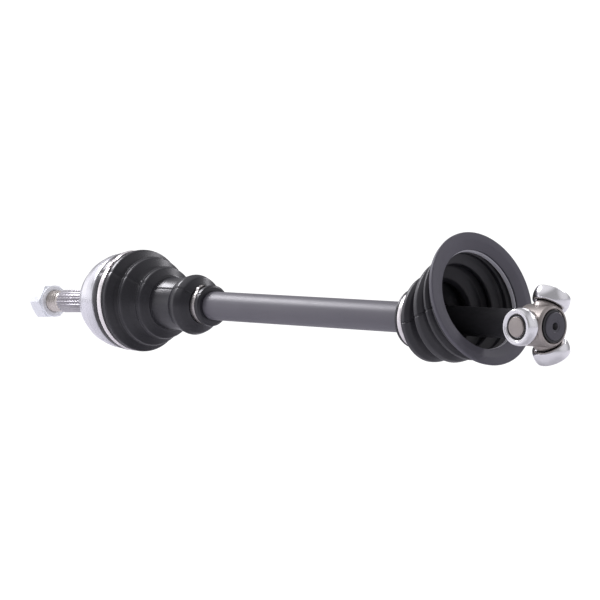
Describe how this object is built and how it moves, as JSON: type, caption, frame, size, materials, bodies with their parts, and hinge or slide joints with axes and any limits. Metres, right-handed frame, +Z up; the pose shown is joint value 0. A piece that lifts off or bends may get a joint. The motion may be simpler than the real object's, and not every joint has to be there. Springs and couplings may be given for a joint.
{
  "type": "cv axle",
  "caption": "Front drive shaft with a booted ball joint and threaded stub at one end and a flanged boot on a bearing and a tripod with rollers at the other.",
  "frame": {"origin": "centre of the outer, wheel-side ball joint, on the shaft's axis", "axes": "+X along the shaft towards the tripod at the gearbox, +Z up, -Y towards the roller that lies level"},
  "size_m": [0.6758, 0.1122, 0.1203],
  "materials": {
    "shaft_paint": "satin charcoal paint",
    "turned_steel": "fine turned steel",
    "ground_steel": "ground bearing steel",
    "black_steel": "phosphated spring steel",
    "zinc": "clear zinc plating",
    "boot_rubber": "satin moulded rubber",
    "band_steel": "bright rolled stainless band",
    "cage_brass": "pressed brass",
    "seal_rubber": "moulded seal rubber",
    "flange_rubber": "matt moulded rubber",
    "insert_steel": "grey steel ring",
    "machined_steel": "warm grey machined steel",
    "roller_steel": "polished bearing steel"
  },
  "bodies": {
    "axle": {"axle_shaft": "shaft_paint", "inner_race": "ground_steel", "race_circlip": "black_steel", "small_clamp": "band_steel", "bearing_inner_ring": "ground_steel", "tripod_spider": "machined_steel", "spider_circlip": "black_steel"},
    "outer_gaiter": {"outer_boot": "boot_rubber"},
    "wheel_stub": {"joint_housing": "turned_steel", "large_clamp": "band_steel"},
    "cage_and_balls": {"ball_cage": "ground_steel", "joint_balls": "ground_steel"},
    "nut_washer_body": {"nut_washer": "zinc"},
    "nut": {"hub_nut": "zinc"},
    "boot_bearing": {"bearing_outer_ring": "ground_steel", "bearing_seal": "seal_rubber", "boot_band": "band_steel"},
    "bearing_ball_set": {"bearing_balls": "ground_steel", "bearing_cage": "cage_brass"},
    "inner_gaiter": {"inner_boot": "boot_rubber"},
    "flange": {"boot_flange": "flange_rubber", "flange_insert": "insert_steel"},
    "needle_set_a": {"needles_a": "ground_steel", "retainer_a": "black_steel"},
    "roller_a": {"roller_a": "roller_steel"},
    "needle_set_b": {"needles_b": "ground_steel", "retainer_b": "black_steel"},
    "roller_b": {"roller_b": "roller_steel"},
    "needle_set_c": {"needles_c": "ground_steel", "retainer_c": "black_steel"},
    "roller_c": {"roller_c": "roller_steel"}
  },
  "joints": [
    {"name": "suspension_bend", "type": "hinge", "parent": "axle", "child": "outer_gaiter", "pos_m": [0, 0, 0], "axis": [0, 1, 0], "range_deg": [-7.6, 12.4], "deforming": ["outer_boot"]},
    {"name": "steering_bend", "type": "hinge", "parent": "outer_gaiter", "child": "wheel_stub", "pos_m": [0, 0, 0], "axis": [-0.0419, 0, 0.9991], "range_deg": [-40, 40]},
    {"name": "cage_bend", "type": "hinge", "parent": "outer_gaiter", "child": "cage_and_balls", "pos_m": [0, 0, 0], "axis": [-0.0419, 0, 0.9991], "range_deg": [-20, 20]},
    {"name": "nut_travel", "type": "slide", "parent": "wheel_stub", "child": "nut_washer_body", "axis": [0.9991, 0, 0.0419], "range_m": [-0.012, 0.012]},
    {"name": "nut_turn", "type": "hinge", "parent": "nut_washer_body", "child": "nut", "pos_m": [-0.1199, 0, -0.00502], "axis": [0.9991, 0, 0.0419], "range_deg": [-2880, 2880]},
    {"name": "boot_bearing_spin", "type": "hinge", "parent": "axle", "child": "boot_bearing", "pos_m": [0.3894, 0, 0], "axis": [1, 0, 0], "continuous": true},
    {"name": "bearing_ball_orbit", "type": "hinge", "parent": "axle", "child": "bearing_ball_set", "pos_m": [0.3894, 0, 0], "axis": [1, 0, 0], "continuous": true},
    {"name": "boot_plunge", "type": "slide", "parent": "boot_bearing", "child": "inner_gaiter", "axis": [1, 0, 0], "range_m": [-0.012, 0.012], "deforming": ["inner_boot"]},
    {"name": "flange_swing", "type": "hinge", "parent": "inner_gaiter", "child": "flange", "pos_m": [0.4559, 0, 0.0196], "axis": [0, 1, 0], "range_deg": [-8, 18]},
    {"name": "roller_a_slide", "type": "slide", "parent": "axle", "child": "needle_set_a", "axis": [0, -1, 0], "range_m": [-0.0005, 0.003]},
    {"name": "roller_a_spin", "type": "hinge", "parent": "needle_set_a", "child": "roller_a", "pos_m": [0.525, 0, 0], "axis": [0, -1, 0], "continuous": true},
    {"name": "roller_b_slide", "type": "slide", "parent": "axle", "child": "needle_set_b", "axis": [0, 0.5, -0.866], "range_m": [-0.0005, 0.003]},
    {"name": "roller_b_spin", "type": "hinge", "parent": "needle_set_b", "child": "roller_b", "pos_m": [0.525, 0, 0], "axis": [0, 0.5, -0.866], "continuous": true},
    {"name": "roller_c_slide", "type": "slide", "parent": "axle", "child": "needle_set_c", "axis": [0, 0.5, 0.866], "range_m": [-0.0005, 0.003]},
    {"name": "roller_c_spin", "type": "hinge", "parent": "needle_set_c", "child": "roller_c", "pos_m": [0.525, 0, 0], "axis": [0, 0.5, 0.866], "continuous": true}
  ],
  "couplings": [
    {"joint": "cage_bend", "follows": "steering_bend", "ratio": 0.5},
    {"joint": "nut_travel", "follows": "nut_turn", "m_per_rad": 0.00023873},
    {"joint": "bearing_ball_orbit", "follows": "boot_bearing_spin", "ratio": 0.5782}
  ]
}
